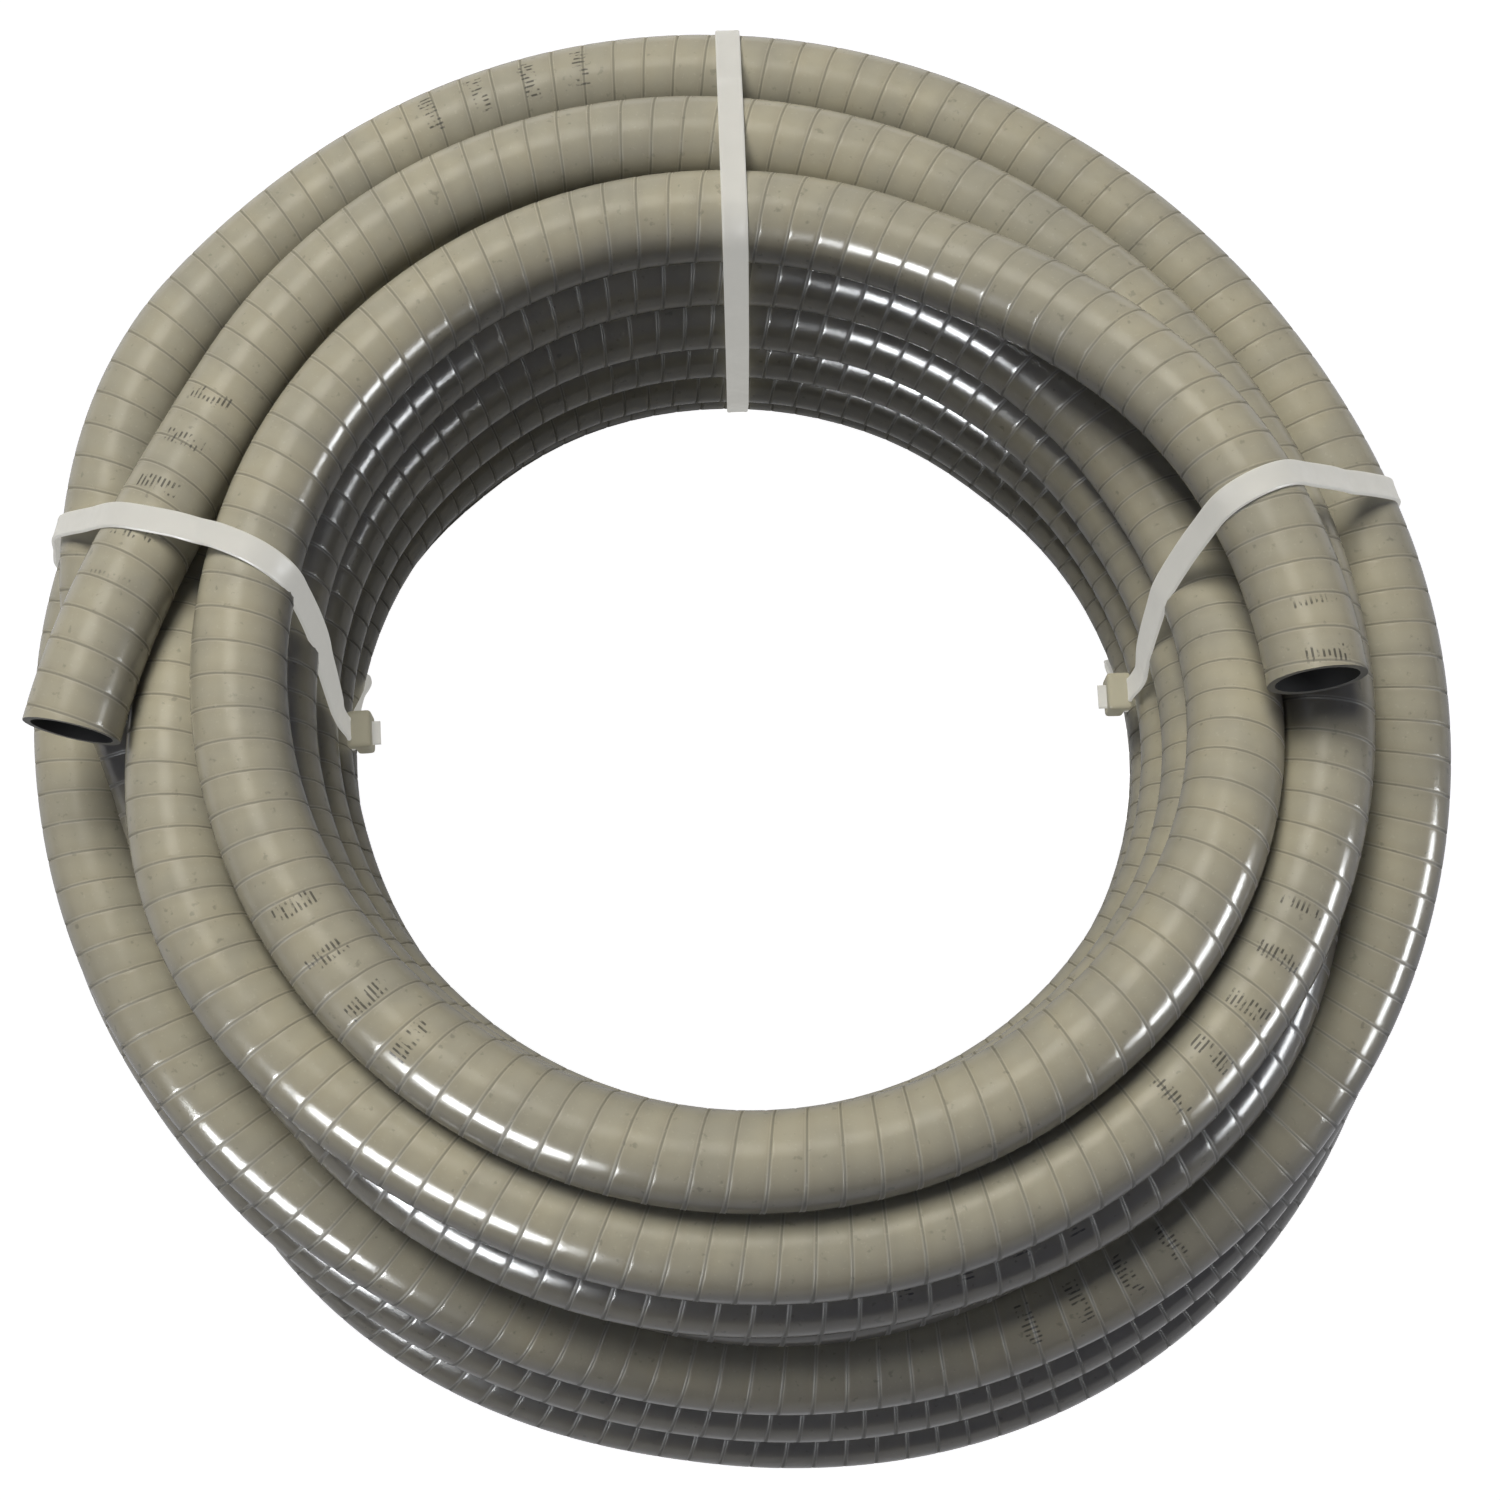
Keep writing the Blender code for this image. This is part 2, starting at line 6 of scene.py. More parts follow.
import bmesh
import bpy
import numpy as np
from mathutils import Matrix, Vector
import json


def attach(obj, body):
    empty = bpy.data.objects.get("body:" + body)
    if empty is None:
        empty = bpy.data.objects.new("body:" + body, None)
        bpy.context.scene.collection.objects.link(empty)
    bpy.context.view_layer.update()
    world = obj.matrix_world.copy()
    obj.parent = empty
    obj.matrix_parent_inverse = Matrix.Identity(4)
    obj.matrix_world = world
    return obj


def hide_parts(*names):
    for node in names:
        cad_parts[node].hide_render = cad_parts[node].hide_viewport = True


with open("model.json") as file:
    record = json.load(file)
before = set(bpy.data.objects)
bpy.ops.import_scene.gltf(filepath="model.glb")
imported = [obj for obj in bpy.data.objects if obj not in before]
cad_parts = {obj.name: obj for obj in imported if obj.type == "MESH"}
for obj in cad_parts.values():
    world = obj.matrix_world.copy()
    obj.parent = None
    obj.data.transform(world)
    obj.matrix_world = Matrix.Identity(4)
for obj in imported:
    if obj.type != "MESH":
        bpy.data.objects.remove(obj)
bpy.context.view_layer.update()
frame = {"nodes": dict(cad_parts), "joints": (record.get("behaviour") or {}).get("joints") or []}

# --- Sizes and places, the same as the CAD's ----------------------------------------------------
HOSE = 0.0267            # outside diameter of the hose
WALL = 0.0023
FLAT = 0.0004
GAP = 0.0003
CENTRE = Vector((0.0055, 0.0111, 0.0))
LAYERS = 6

# How the turns of each column sway round the coil, in hose diameters: a mean, then the size of the
# cosine and the sine of the azimuth, of twice it and of three times it
INNER_RADIUS = (5.24, -0.12, -0.12, 0.04, -0.07)
INNER_TOP = (5.50, 0.08, -0.08)
INNER_LEAN = (0.0, -0.05, -0.12, -0.05, 0.05, 0.38)      # outward shift of each layer from the top
MIDDLE_RADIUS = (6.18, -0.16, -0.06, 0.04, -0.22, 0.05)
MIDDLE_TOP = (5.08, 0.08, 0.14)
MIDDLE_SPLAY = (0.21, 0.0, -0.10)                        # outward shift of the second layer
MIDDLE_LEAN = (0.28, 0.18, 0.20)                         # outward shift of the three lowest layers
OUTER_RADIUS = (7.27, -0.17, -0.12, -0.06, -0.20)
OUTER_TOP = (4.65, 0.0, 0.15)
OUTER_LAYERS = 3
THIRD_SPLAY = 1.8        # outward shift of the middle column's third layer over that of its second
SAG_FROM = 3.0           # layer of the middle column below which it sags
OUTER_STEP = (0.04, 0.34)        # outward shift of each outer layer, standing and added when slumped
OUTER_PACKING = 0.93     # height of a layer of the outer column where it rests on the floor

# Places where a shape swells smoothly: size, azimuth, half width in degrees
SLUMP = (1.0, 268.0, 105.0)      # where the outer column has slid down to the floor
MIDDLE_SAG = (0.12, 270.0, 70.0)
MIDDLE_SWELL = (0.30, 200.0, 50.0)     # where the top turn of the middle column stands out
OUTER_SPLAYS = ((0.09, 308.0, 45.0), (0.06, 238.0, 30.0))
OUTER_SWELLS = ((0.20, 187.0, 60.0), (0.16, 325.0, 70.0))
OUTER_RISE = (0.40, 210.0, 60.0)

LIFT_NEAR = 22.0         # a turn on the floor is fully lifted within this many degrees of a strap
LIFT_FAR = 48.0          # and back on the floor beyond this many

LEFT_CUT = 187.4         # azimuth of the left cut end
LEFT_JOIN = 150.0        # azimuth where the left free end starts to leave its turn
LEFT_RISE = (0.60, 0.52)         # how far its cut end stands out and up
LEFT_BEND = 2.6          # the power by which it moves out
RIGHT_CUT = -5.8
RIGHT_LEAVES = 72.0
RIGHT_RISE = (0.57, 0.68)
RIGHT_BEND = 2.0
RIGHT_CLIMB = 1.35       # how much sooner the right free end rises than it ends

STRAP_WIDTH = 0.0076
STRAP_THICK = 0.0013
STRAP_CLEAR = 0.0012
HEAD_LENGTH = 0.0105
HEAD_HEIGHT = 0.0070
SLOT_AT = 0.0019
PAWL_ROOM = 0.0026
PAWL_THICK = 0.0010
PAWL_ROOT = 0.0017
BEND_RADIUS = 0.0016
TAIL_STANDS = 0.0024
TURN_SPAN = 85.0
HEAD_SPAN = 14.0
CORE = (6.1, 2.8)
TIES = {
    "top": (92.0, 0.0, -18.0),
    "left": (168.5, 16.0, 173.0),
    "right": (15.5, -14.0, 174.0),
}

# --- The hose's surface -------------------------------------------------------------------------
PITCH = 0.0095           # one turn of the rigid spiral in the wall
GROOVE_DEPTH = 0.00013   # the fine groove between two turns of the spiral
GROOVE_SHARE = 0.08      # its half width, as a share of the pitch
BELLY = 0.00002          # how far the wall stands out between two grooves
ROWS = (0.0, 0.06, 0.14, 0.32, 0.68, 0.86, 0.94)     # where the mesh has points within a pitch
SIDES = 28               # points round the hose
FINE = 0.0015            # spacing of the finely spaced centre line
BORE_DEPTH = 0.11        # how deep the open bore is modelled at each cut end
BORE_STEPS = 24
RIM_EDGE = 0.0004        # how far the cut face stays inside the hose's outside
BORE_EDGE = 0.0002       # and outside its bore
BORE_STARTS = 0.0003     # depth of the bore's first ring
BORE_RIDGE = 0.0002      # how far every other ring of the bore stands inward
CUT_RINGS = 2            # rings of points on a cut face
FIRST_RINGS = 3          # rings before the bore's steps
HOSE_SHARP = 50.0        # angle in degrees beyond which an edge of the hose looks sharp


# --- Shape of the wound turns, in hose diameters and degrees ------------------------------------
def smooth(value):
    value = min(max(value, 0.0), 1.0)
    return value * value * (3.0 - 2.0 * value)


def bump(angle, centre, half_width):
    """1 at centre, falling smoothly to 0 half_width degrees away."""
    away = abs((angle - centre + 180.0) % 360.0 - 180.0) / half_width
    return 0.5 + 0.5 * math.cos(math.pi * min(away, 1.0))


def swell(angle, *places):
    return sum(size * bump(angle, centre, half_width) for size, centre, half_width in places)


def sway(angle, sizes):
    """A radius or a height that swings gently round the coil, as hand-wound turns do."""
    a = math.radians(angle)
    waves = (1.0, math.cos(a), math.sin(a), math.cos(2 * a), math.sin(2 * a), math.cos(3 * a))
    return sum(size * wave for size, wave in zip(sizes, waves))


def floor_height(angle):
    """Centre line of the lowest turn: pressed on the floor, and lifted a little over each strap."""
    lift = (STRAP_THICK + STRAP_CLEAR + FLAT + GAP) / HOSE
    share = 0.0
    for azimuth, turn, _ in TIES.values():
        away = abs((angle - azimuth - turn / 2.0 + 180.0) % 360.0 - 180.0)
        share = max(share, smooth((LIFT_FAR - away) / (LIFT_FAR - LIFT_NEAR)))
    return 0.5 - FLAT / HOSE + lift * share


def stacked(top, angle, layer):
    """Height of a layer of a full column that stands on the floor."""
    return top - (layer - 1.0) * (top - floor_height(angle)) / (LAYERS - 1.0)


def inner_place(angle, layer):
    """Radius and height of a turn of the inner column; layer 1 is the top one."""
    return sway(angle, INNER_RADIUS) + INNER_LEAN[layer - 1], stacked(sway(angle, INNER_TOP), angle, layer)


def middle_place(angle, layer):
    splay = sway(angle, MIDDLE_SPLAY)
    lean = (0.0, splay, THIRD_SPLAY * splay, *MIDDLE_LEAN)
    sag = swell(angle, MIDDLE_SAG) * max(layer - SAG_FROM, 0.0) ** 2
    height = stacked(sway(angle, MIDDLE_TOP), angle, layer) - sag
    upper = swell(angle, MIDDLE_SWELL) if layer == 1 else 0.0
    return sway(angle, MIDDLE_RADIUS) + lean[layer - 1] + upper, max(height, floor_height(angle))


def outer_place(angle, layer):
    """The outer column hangs in the ties behind and slumps to the floor in front."""
    slump = swell(angle, SLUMP)
    splay = OUTER_STEP[0] + OUTER_STEP[1] * slump + swell(angle, *OUTER_SPLAYS)
    top = sway(angle, OUTER_TOP)
    resting = floor_height(angle) + (OUTER_LAYERS - 1.0) * OUTER_PACKING
    packing = 1.0 + (OUTER_PACKING - 1.0) * slump
    height = top + (resting - top) * slump - (layer - 1.0) * packing + swell(angle, OUTER_RISE)
    radius = sway(angle, OUTER_RADIUS) + swell(angle, *OUTER_SWELLS) + splay * (layer - 1.0)
    return radius, max(height, floor_height(angle))


PLACES = {"inner": inner_place, "middle": middle_place, "outer": outer_place}

# where the hose lies in turn, from its left end: column, layer, the azimuth where it leaves that
# place, and the degrees that it takes to reach the next one
ORDER = (
    ("middle", 1, 215.0, 60.0), ("middle", 2, 190.0, 44.0),
    ("outer", 1, 245.0, 60.0), ("outer", 2, 245.0, 60.0), ("outer", 3, 222.0, 70.0),
    ("middle", 3, 245.0, 60.0), ("middle", 4, 245.0, 60.0), ("middle", 5, 245.0, 60.0),
    ("middle", 6, 330.0, 60.0),
    ("inner", 6, 30.0, 60.0), ("inner", 5, 30.0, 60.0), ("inner", 4, 30.0, 60.0),
    ("inner", 3, 30.0, 60.0), ("inner", 2, 30.0, 60.0), ("inner", 1, RIGHT_CUT, 0.0),
)
SHORTEST_RUN = 180.0     # the least angle that the hose stays in one place


def winding():
    """The hose from its left end to its right end, as stretches (first angle, last angle, column,
    layer). Angles fall, because the hose runs clockwise seen from above. Between two stretches the
    hose crosses smoothly from one place to the next."""
    stretches = []
    angle = LEFT_CUT
    for column, layer, leaves_at, crossing in ORDER:
        turns = math.ceil((leaves_at - angle + SHORTEST_RUN) / 360.0)
        last = leaves_at - 360.0 * turns
        stretches.append((angle, last, column, layer))
        angle = last - crossing
    return stretches


def hose_at(angle, stretches):
    """Radius and height of the hose at a running angle along the winding."""
    for i, (first, last, column, layer) in enumerate(stretches):
        if angle >= last or i == len(stretches) - 1:
            break
        after = stretches[i + 1]
        if angle > after[0]:
            share = smooth((last - angle) / (last - after[0]))
            r0, z0 = PLACES[column](angle, layer)
            r1, z1 = PLACES[after[2]](angle, after[3])
            return r0 + (r1 - r0) * share, z0 + (z1 - z0) * share
    radius, height = PLACES[column](angle, layer)
    if i == 0 and angle > LEFT_JOIN:
        out = (angle - LEFT_JOIN) / (LEFT_CUT - LEFT_JOIN)
        radius += LEFT_RISE[0] * out ** LEFT_BEND
        height += LEFT_RISE[1] * smooth(out)
    end_angle = stretches[-1][1]
    before_end = angle - end_angle
    if i == len(stretches) - 1 and before_end < RIGHT_LEAVES - RIGHT_CUT:
        out = 1.0 - before_end / (RIGHT_LEAVES - RIGHT_CUT)
        radius += RIGHT_RISE[0] * out ** RIGHT_BEND
        height += RIGHT_RISE[1] * smooth(out * RIGHT_CLIMB)
    return radius, height


WINDING = winding()


# --- Settling the turns on each other -----------------------------------------------------------
SPACING = 0.35           # between the points of the settled route, in hose diameters
TOUCHING = 0.985         # distance between two turns that press on each other
SETTLE_ROUNDS = 90
PAIRS_EVERY = 6          # rounds between two searches for turns that lie close
CLOSE = 1.25             # distance within which two points are watched
NEIGHBOURS = 2.0         # length along the hose within which points are not pushed apart
AT_ONCE = 256            # points compared in one go
HELD = 0.06              # how readily a turn seen from outside gives way
ON_TOP = 4.65            # height above which a turn is seen from outside
PUSH = 0.45              # share of an overlap that is taken out in one round
SPREAD = 0.5             # how much of a push passes to the points beside it in one round
SMOOTH_BY = 5            # points on each side that ease the finely spaced line


def designed_route():
    """Angles, radii and heights along the whole hose, in degrees and hose diameters."""
    angles = [WINDING[0][0]]
    while angles[-1] > WINDING[-1][1]:
        radius = hose_at(angles[-1], WINDING)[0]
        angles.append(angles[-1] - math.degrees(SPACING / radius))
    angles[-1] = WINDING[-1][1]
    places = np.array([hose_at(a, WINDING) for a in angles])
    return np.radians(angles), places[:, 0], places[:, 1]


def settle(points, ease):
    """Pushes the turns out of each other and up off the floor, and spreads each push along the hose.
    ease is how readily each point gives way: the turns on top hold their places."""
    home = points.copy()
    moved = np.zeros_like(points)
    apart = int(NEIGHBOURS / SPACING)
    for done in range(SETTLE_ROUNDS):
        if done % PAIRS_EVERY == 0:
            first, second = near_pairs(home + moved, apart)
            share = (ease[first] / (ease[first] + ease[second]))[:, None]
        now = home + moved
        line = now[second] - now[first]
        far = np.linalg.norm(line, axis=1)
        short = np.maximum(TOUCHING - far, 0.0) / np.maximum(far, 1e-6)
        push = line * (PUSH * short)[:, None]
        total = np.zeros_like(points)
        np.add.at(total, first, -push * share)
        np.add.at(total, second, push * (1.0 - share))
        moved += total
        moved[:, 2] += np.maximum((0.5 - FLAT / HOSE) - (home + moved)[:, 2], 0.0)
        beside = moved.copy()
        beside[1:-1] = 0.5 * (moved[2:] + moved[:-2])
        moved += SPREAD * (beside - moved)
    return home + moved


def ease_at(angles, heights):
    """How readily the hose gives way along its route: least on the turns seen from outside."""
    ease = np.where(heights > ON_TOP, HELD, 1.0)
    for (first, _, column, _), (_, last, after, _) in zip(WINDING, WINDING[1:]):
        if column == after and column in ("inner", "outer"):
            ease[(angles <= first) & (angles >= last)] = HELD
    return ease


def near_pairs(points, apart):
    """Pairs of points that lie close although they are far apart along the hose."""
    first, second = [], []
    for i in range(0, len(points), AT_ONCE):
        gap = np.linalg.norm(points[i:i + AT_ONCE, None] - points[None], axis=2)
        low, high = np.nonzero(gap < CLOSE)
        keep = high - (low + i) > apart
        first.append(low[keep] + i)
        second.append(high[keep])
    return np.concatenate(first), np.concatenate(second)


def settled_route():
    """The hose's centre line in the frame's metres, finely spaced."""
    angles, radii, heights = designed_route()
    points = np.stack([radii * np.cos(angles), radii * np.sin(angles), heights], axis=1)
    points = settle(points, ease_at(np.degrees(angles), heights)) * HOSE
    along = np.concatenate([[0.0], np.cumsum(np.linalg.norm(np.diff(points, axis=0), axis=1))])
    turned = np.unwrap(np.arctan2(points[:, 1], points[:, 0]))
    radius = np.hypot(points[:, 0], points[:, 1])
    fine = np.linspace(0.0, along[-1], int(along[-1] / FINE) + 1)
    kernel = np.hanning(2 * SMOOTH_BY + 3)[1:-1]
    kernel /= kernel.sum()

    def eased(values):
        line = np.interp(fine, along, values)
        before = 2 * line[0] - line[SMOOTH_BY:0:-1]
        after = 2 * line[-1] - line[-2:-SMOOTH_BY - 2:-1]
        return np.convolve(np.concatenate([before, line, after]), kernel, mode="valid")

    a, r = eased(turned), eased(radius)
    z = np.maximum(eased(points[:, 2]), HOSE / 2.0 + BELLY)
    return np.stack([r * np.cos(a), r * np.sin(a), z], axis=1) + np.array(CENTRE)


# --- The hose's mesh ----------------------------------------------------------------------------
class Line:
    """The hose's centre line with a frame of two directions across it, read at any length."""

    def __init__(self, points):
        self.points = points
        steps = np.linalg.norm(np.diff(points, axis=0), axis=1)
        self.along = np.concatenate([[0.0], np.cumsum(steps)])
        self.length = self.along[-1]
        ahead = np.gradient(points, self.along, axis=0)
        ahead /= np.linalg.norm(ahead, axis=1)[:, None]
        side = np.cross(ahead, (0.0, 0.0, 1.0))
        self.side = side / np.linalg.norm(side, axis=1)[:, None]
        self.up = np.cross(self.side, ahead)

    def read(self, values, at):
        return np.stack([np.interp(at, self.along, values[:, axis]) for axis in range(3)], axis=-1)

    def surface(self, at, turn, radius):
        """Points at a length along the hose, a share of a turn round it and a distance from its line."""
        a = 2.0 * np.pi * turn
        out = self.read(self.side, at) * np.cos(a)[..., None] + self.read(self.up, at) * np.sin(a)[..., None]
        return self.read(self.points, at) + out * radius[..., None]


def wall_radius(phase):
    """The outer radius by the place within a pitch: a flat belly between fine grooves."""
    away = np.minimum(phase, 1.0 - phase)
    groove = GROOVE_DEPTH * (0.5 + 0.5 * np.cos(np.pi * np.minimum(away / GROOVE_SHARE, 1.0)))
    return HOSE / 2.0 - groove + BELLY * np.sin(np.pi * phase) ** 0.5


def hose_mesh(line):
    """One closed mesh. Its rows follow the spiral, so that a groove is an unbroken row of points."""
    per_pitch = len(ROWS)
    pitches = int(math.ceil(line.length / PITCH)) + 1
    row_turns = (np.arange(pitches)[:, None] + np.array(ROWS)).ravel() - 1.0
    spokes = np.arange(SIDES) / SIDES
    at = np.clip((row_turns[:, None] + spokes) * PITCH, 0.0, line.length)
    at = np.concatenate([at, np.full((1, SIDES), line.length)])
    turn = np.broadcast_to(spokes, at.shape)
    phase = np.mod(at / PITCH - turn, 1.0)
    outer = line.surface(at, turn, wall_radius(phase))
    last = len(at) - 1

    row, spoke = np.meshgrid(np.arange(last), np.arange(SIDES), indexing="ij")
    wraps = spoke == SIDES - 1
    skip = np.where(wraps, per_pitch, 0)
    beside = np.where(wraps, 0, spoke + 1)
    index = np.arange(at.size).reshape(at.shape)
    index = np.where(at <= 0.0, index[0], np.where(at >= line.length, index[last], index))
    low, high = np.minimum(row + skip, last), np.minimum(row + 1 + skip, last)
    corner_places = ((row, spoke), (low, beside), (high, beside), (row + 1, spoke))
    quads = np.stack([index[place] for place in corner_places], axis=-1)
    lengths = np.stack([at[place] for place in corner_places], axis=-1) / PITCH
    turns = np.stack([turn[row, spoke], turn[row, spoke] + 1.0 / SIDES], axis=-1)[..., [0, 1, 1, 0]]
    faces, uvs = [], []
    for corners, u, v in zip(quads.reshape(-1, 4), lengths.reshape(-1, 4), turns.reshape(-1, 4)):
        keep = [k for k in range(4) if corners[k] != corners[k - 1]]
        if len(keep) > 2:
            faces.append([corners[k] for k in keep])
            uvs.extend((u[k], v[k]) for k in keep)
    points = [outer.reshape(-1, 3)]
    count = outer.size // 3
    for end, inward in ((0, 1.0), (last, -1.0)):
        rim = [int(i) for i in index[end]]
        start = at[end, 0]
        for depth, radius in bore_profile():
            ring = line.surface(np.full(SIDES, start + inward * depth), spokes, np.full(SIDES, radius))
            ids = list(range(count, count + SIDES))
            points.append(ring)
            count += SIDES
            for k in range(SIDES):
                j = (k + 1) % SIDES
                face = [rim[j], rim[k], ids[k], ids[j]]
                faces.append(face if inward > 0.0 else face[::-1])
                uvs.extend([(0.5, 0.5)] * 4)
            rim = ids
        faces.append(rim[::-1] if inward > 0.0 else rim)
        uvs.extend([(0.5, 0.5)] * SIDES)
    return np.concatenate(points), faces, uvs


def bore_profile():
    """Depth and radius of the rings from the cut face's outer edge down the bore."""
    inner = HOSE / 2.0 - WALL
    yield 0.0, HOSE / 2.0 - RIM_EDGE
    yield 0.0, inner + BORE_EDGE
    yield BORE_STARTS, inner
    for i in range(1, BORE_STEPS + 1):
        yield BORE_STARTS + BORE_DEPTH * i / BORE_STEPS, inner - BORE_RIDGE * (i % 2)


def make_hose(line, finish, bore_shade):
    """The hose's mesh: its skin and cut faces in one finish and its bores in another, near black with
    painted shade.
    """
    points, faces, uvs = hose_mesh(line)
    data = bpy.data.meshes.new("hose")
    data.from_pydata(points.tolist(), [], faces)
    layer = data.uv_layers.new(name=ROUTE_MAP)
    layer.data.foreach_set("uv", np.array(uvs, dtype=np.float32).ravel())
    data.materials.append(finish)
    data.materials.append(bore_shade)
    per_end = SIDES * (BORE_STEPS + FIRST_RINGS) + 1
    skin = len(faces) - 2 * per_end
    for end in (0, 1):
        for k in range(skin + end * per_end + CUT_RINGS * SIDES, skin + (end + 1) * per_end):
            data.polygons[k].material_index = 1
    data.shade_smooth()
    data.set_sharp_from_angle(angle=math.radians(HOSE_SHARP))
    data.update()
    hose = bpy.data.objects.new("hose", data)
    bpy.context.scene.collection.objects.link(hose)
    return hose


ROUTE_MAP = "route"      # U counts pitches along the hose, V turns once round it


# --- Materials ----------------------------------------------------------------------------------
class Nodes:
    """A short way to add and link shader nodes."""

    def __init__(self, name):
        self.material = bpy.data.materials.new(name)
        self.material.use_nodes = True
        self.tree = self.material.node_tree
        self.shader = self.tree.nodes["Principled BSDF"]

    def add(self, kind, **settings):
        node = self.tree.nodes.new(kind)
        for key, value in settings.items():
            setattr(node, key, value)
        return node

    def put(self, value, socket):
        if isinstance(value, bpy.types.NodeSocket):
            self.tree.links.new(value, socket)
        else:
            socket.default_value = value

    def math(self, operation, first, second=0.0, third=0.0, clamp=False):
        node = self.add("ShaderNodeMath", operation=operation, use_clamp=clamp)
        for value, socket in zip((first, second, third), node.inputs):
            self.put(value, socket)
        return node.outputs[0]

    def mix(self, share, first, second, blend="MIX"):
        node = self.add("ShaderNodeMix", data_type="RGBA", blend_type=blend)
        self.put(share, node.inputs["Factor"])
        self.put(first, node.inputs[6])
        self.put(second, node.inputs[7])
        return node.outputs[2]

    def ramp(self, value, low, high, out_low=0.0, out_high=1.0):
        node = self.add("ShaderNodeMapRange", interpolation_type="SMOOTHSTEP")
        for part, socket in zip((value, low, high, out_low, out_high), node.inputs):
            self.put(part, socket)
        return node.outputs[0]

    def from_middle(self, value):
        return self.math("ABSOLUTE", self.math("SUBTRACT", value, 0.5))

    def noise(self, vector, scale, detail=2.0, roughness=0.5):
        node = self.add("ShaderNodeTexNoise")
        self.put(vector, node.inputs["Vector"])
        node.inputs["Scale"].default_value = scale
        node.inputs["Detail"].default_value = detail
        node.inputs["Roughness"].default_value = roughness
        return node.outputs["Fac"]

    def bump(self, height, distance, strength=1.0, normal=None):
        node = self.add("ShaderNodeBump")
        node.inputs["Distance"].default_value = distance
        node.inputs["Strength"].default_value = strength
        self.put(height, node.inputs["Height"])
        if normal is not None:
            self.put(normal, node.inputs["Normal"])
        return node.outputs[0]


def pvc_finish():
    """Warm grey flexible PVC: a fine groove at each turn of the spiral, darkened with painted shade, the
    rigid spiral showing faintly through the wall, cloudy plasticiser, fine dust and rows of worn generic ink
    ticks."""
    n = Nodes("hose_pvc")
    place = n.add("ShaderNodeTexCoord").outputs["Object"]
    route = n.add("ShaderNodeUVMap", uv_map=ROUTE_MAP).outputs[0]
    split = n.add("ShaderNodeSeparateXYZ")
    n.put(route, split.inputs[0])
    along, around = split.outputs[0], split.outputs[1]
    phase = n.math("FRACT", n.math("SUBTRACT", along, around))
    away = n.math("MINIMUM", phase, n.math("SUBTRACT", 1.0, phase))
    groove = n.ramp(away, 0.012, 0.045, 1.0, 0.0)
    edge = n.ramp(away, 0.045, 0.085, 1.0, 0.0)
    spiral = n.ramp(n.from_middle(phase), 0.10, 0.34, 1.0, 0.0)

    cloud = n.noise(place, 38.0, 4.0, 0.6)
    blotch = n.noise(place, 9.0, 2.0)
    speck = n.ramp(n.noise(place, 900.0, 2.0), 0.62, 0.74)
    colour = n.mix(n.ramp(cloud, 0.30, 0.70), PVC_COOL, PVC_WARM)
    colour = n.mix(n.math("MULTIPLY", spiral, SPIRAL_SHOWS), colour, PVC_LIGHT)
    colour = n.mix(n.ramp(blotch, 0.45, 0.75, 0.0, 0.35), colour, PVC_SHADE)
    grime = n.ramp(n.noise(place, 380.0, 3.0), 0.64, 0.74)
    colour = n.mix(n.math("MULTIPLY", grime, GRIME_SHOWS), colour, PVC_GRIME_AND_GROOVE_SHADE)
    # painted shade: each groove is darkened as if shade lay in it
    colour = n.mix(n.math("MULTIPLY", groove, GROOVE_SHADE_SHOWS), colour, PVC_GRIME_AND_GROOVE_SHADE)
    colour = n.mix(n.math("MULTIPLY", speck, SPECK_SHOWS), colour, PVC_LIGHT)
    colour = n.mix(n.math("MULTIPLY", ink_ticks(n, place, along, around), INK_SHOWS), colour, INK)
    n.put(colour, n.shader.inputs["Base Color"])

    smear = n.noise(place, 70.0, 3.0)
    rough = n.ramp(smear, 0.25, 0.75, *PVC_ROUGH)
    n.put(n.math("ADD", rough, n.math("MULTIPLY", edge, EDGE_ROUGH)), n.shader.inputs["Roughness"])
    grain = n.bump(n.noise(place, 1400.0, 2.0), 0.00004, 0.35)
    wander = n.bump(n.noise(place, 60.0, 2.0), 0.0004, 0.05, grain)
    n.put(n.bump(groove, -0.00020, 0.5, wander), n.shader.inputs["Normal"])
    n.shader.inputs["IOR"].default_value = PLASTIC_IOR
    return n.material


def ink_ticks(n, place, along, around):
    """Worn patches of plain upright ticks in rows across the hose, repeated along it."""
    part = n.math("FRACT", n.math("ADD", n.math("DIVIDE", along, INK_REPEAT), INK_START))
    patch = n.ramp(n.from_middle(part), 0.055, 0.060, 1.0, 0.0)
    row = n.math("FRACT", n.math("DIVIDE", along, INK_ROW))
    row = n.ramp(n.from_middle(row), 0.12, 0.16, 1.0, 0.0)
    tick = n.math("FRACT", n.math("MULTIPLY", around, INK_TICKS))
    tick = n.ramp(n.from_middle(tick), 0.16, 0.26, 1.0, 0.0)
    side = n.ramp(n.math("ABSOLUTE", n.math("SUBTRACT", around, INK_SIDE)), 0.075, 0.085, 1.0, 0.0)
    worn = n.ramp(n.noise(place, 420.0, 2.0), 0.42, 0.56)
    ink = n.math("MULTIPLY", n.math("MULTIPLY", patch, row), n.math("MULTIPLY", tick, side))
    return n.math("MULTIPLY", ink, worn)


INK = (0.025, 0.025, 0.025, 1.0)
INK_REPEAT = 61.0        # pitches from one patch of ticks to the next
INK_START = 0.37
INK_ROW = 1.7            # pitches between rows
INK_TICKS = 58.0         # ticks in a full turn round the hose
INK_SIDE = 0.25          # the share of a turn that the patches are centred on, straight up
PVC_WARM = (0.330, 0.308, 0.232, 1.0)
PVC_COOL = (0.272, 0.260, 0.208, 1.0)
PVC_LIGHT = (0.400, 0.390, 0.310, 1.0)
PVC_SHADE = (0.230, 0.225, 0.190, 1.0)
